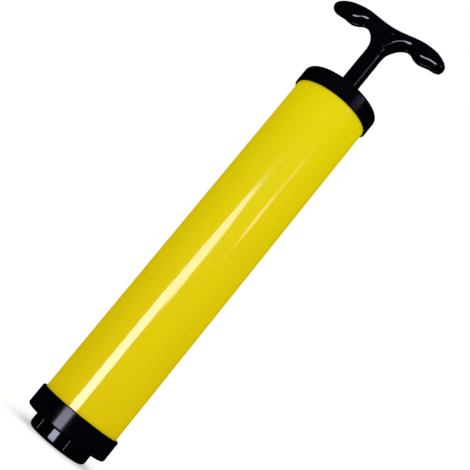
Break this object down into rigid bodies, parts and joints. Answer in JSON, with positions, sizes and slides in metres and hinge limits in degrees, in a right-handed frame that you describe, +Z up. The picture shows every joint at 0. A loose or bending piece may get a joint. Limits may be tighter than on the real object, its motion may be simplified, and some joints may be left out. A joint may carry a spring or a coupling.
{
  "type": "double action hand pump",
  "caption": "Slim upright hand pump: a glossy yellow barrel between black end caps, a collared mouth below and a black T-handle with finger scallops on a sliding rod.",
  "frame": {"origin": "centre of the mouth nozzle's rim, on which the pump stands", "axes": "+Z up the pump's axis from the mouth to the handle; the handle's arms along X; pump closed"},
  "size_m": [0.0718, 0.0474, 0.2842],
  "materials": {
    "yellow_shell": "gloss, injection moulded",
    "black_gloss": "gloss, injection moulded",
    "black_rubber": "matte",
    "natural_plastic": "satin, as moulded",
    "grey_plastic": "satin, as moulded",
    "screw_steel": "zinc plated"
  },
  "bodies": {
    "barrel": {"mouth_nozzle": "black_gloss", "mouth_seal": "black_rubber", "base_cap": "black_gloss", "outer_barrel": "yellow_shell", "port_gasket": "black_rubber", "seat_plate": "grey_plastic", "cage_plate": "grey_plastic", "floor_gasket": "black_rubber", "inner_cylinder": "natural_plastic", "plate_screws": "screw_steel", "plate_o_ring": "black_rubber", "cylinder_head": "natural_plastic", "head_o_ring": "black_rubber", "rod_seal": "black_rubber", "rod_bush": "natural_plastic", "top_cap": "black_gloss"},
    "piston": {"lower_retainer": "grey_plastic", "lower_cup_seal": "black_rubber", "piston_core": "natural_plastic", "upper_cup_seal": "black_rubber", "upper_retainer": "grey_plastic", "piston_screws": "screw_steel"},
    "plunger_rod": {"shoulder_screw": "screw_steel", "thrust_washer": "natural_plastic", "rod_plug": "grey_plastic", "piston_rod": "black_gloss", "handle": "black_gloss"},
    "lower_intake_valve": {"lower_intake_disc": "black_rubber"},
    "upper_intake_valve": {"upper_intake_disc": "black_rubber"},
    "lower_outlet_valve": {"lower_outlet_disc": "black_rubber"},
    "upper_outlet_valve": {"upper_outlet_disc": "black_rubber"}
  },
  "joints": [
    {"name": "piston_slide", "type": "slide", "parent": "barrel", "child": "piston", "axis": [0, 0, 1], "range_m": [0, 0.17]},
    {"name": "handle_swivel", "type": "hinge", "parent": "piston", "child": "plunger_rod", "pos_m": [0, 0, 0.0443], "axis": [0, 0, 1], "continuous": true},
    {"name": "lower_intake_lift", "type": "slide", "parent": "barrel", "child": "lower_intake_valve", "axis": [0, 0, 1], "range_m": [0, 0.0011]},
    {"name": "upper_intake_lift", "type": "slide", "parent": "barrel", "child": "upper_intake_valve", "axis": [0, 0, 1], "range_m": [0, 0.0011]},
    {"name": "lower_outlet_lift", "type": "slide", "parent": "barrel", "child": "lower_outlet_valve", "axis": [0, 0, 1], "range_m": [0, 0.0011]},
    {"name": "upper_outlet_lift", "type": "slide", "parent": "barrel", "child": "upper_outlet_valve", "axis": [0, 0, 1], "range_m": [0, 0.0011]}
  ]
}
